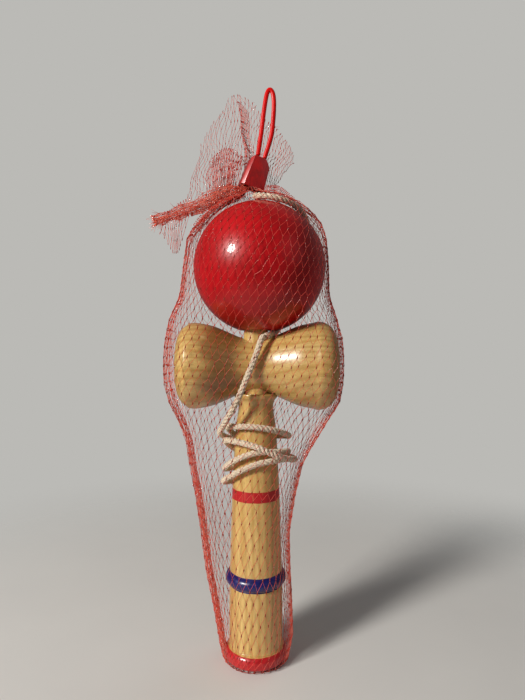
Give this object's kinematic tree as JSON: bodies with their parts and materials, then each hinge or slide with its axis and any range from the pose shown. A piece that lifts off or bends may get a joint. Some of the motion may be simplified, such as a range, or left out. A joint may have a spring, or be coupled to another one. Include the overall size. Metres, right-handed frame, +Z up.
{
  "type": "cup and ball toy",
  "caption": "Turned wooden cup-and-ball toy: a handle with a spike, a double-ended cross cup and a ball on a cotton cord, packed in a knotted net bag closed by a clip with a hang loop.",
  "frame": {"origin": "centre of the bag's flat bottom, under the handle's foot", "axes": "+Z up the handle to the spike, the ball and the hang loop; +X along the cross cup to its bigger cup; -Y to the front, where the string crosses the cross cup"},
  "size_m": [0.0765, 0.06, 0.2327],
  "materials": {
    "handle_wood": "clear lacquered light wood, with a glossy blue bead, a red band and a red foot painted on it",
    "cup_wood": "clear lacquered light wood",
    "ball_lacquer": "glossy red lacquer on wood",
    "bead_wood": "plain, unpainted",
    "string_cotton": "twisted off-white cotton cord",
    "netting": "knotted red plastic monofilament netting, slightly shiny",
    "clip_plastic": "glossy red moulded plastic"
  },
  "bodies": {
    "handle": {"handle": "handle_wood", "anchor_knot": "string_cotton", "string_on_handle": "string_cotton", "net_bag": "netting"},
    "cross_cup": {"cross_cup": "cup_wood"},
    "string_end": {"string_bead": "bead_wood", "bead_knot": "string_cotton", "string_over_ball": "string_cotton", "net_tail": "netting", "net_frill": "netting"},
    "ball": {"ball": "ball_lacquer"},
    "clip": {"clip_collar": "clip_plastic"},
    "loop": {"clip_loop": "clip_plastic"}
  },
  "joints": [
    {"name": "cup_turn", "type": "hinge", "parent": "handle", "child": "cross_cup", "pos_m": [0, 0, 0.119], "axis": [0, 0, 1], "range_deg": [-3, 3]},
    {"name": "ball_lift", "type": "slide", "parent": "handle", "child": "string_end", "axis": [0, 0, 1], "range_m": [0, 0.034], "deforming": ["net_bag", "string_over_ball"]},
    {"name": "ball_spin", "type": "hinge", "parent": "string_end", "child": "ball", "pos_m": [0.0015, 0, 0.159], "axis": [0, 0, 1], "continuous": true},
    {"name": "clip_tilt", "type": "hinge", "parent": "string_end", "child": "clip", "pos_m": [-0.0022, 0, 0.1914], "axis": [0, 1, 0], "range_deg": [-30, 12], "stiffness_Nm_per_rad": 0.003, "deforming": ["net_tail", "net_frill"]},
    {"name": "loop_flex", "type": "hinge", "parent": "clip", "child": "loop", "pos_m": [0.00218, 0, 0.20449], "axis": [0.9483, 0, -0.3173], "range_deg": [-30, 30], "stiffness_Nm_per_rad": 0.001}
  ]
}
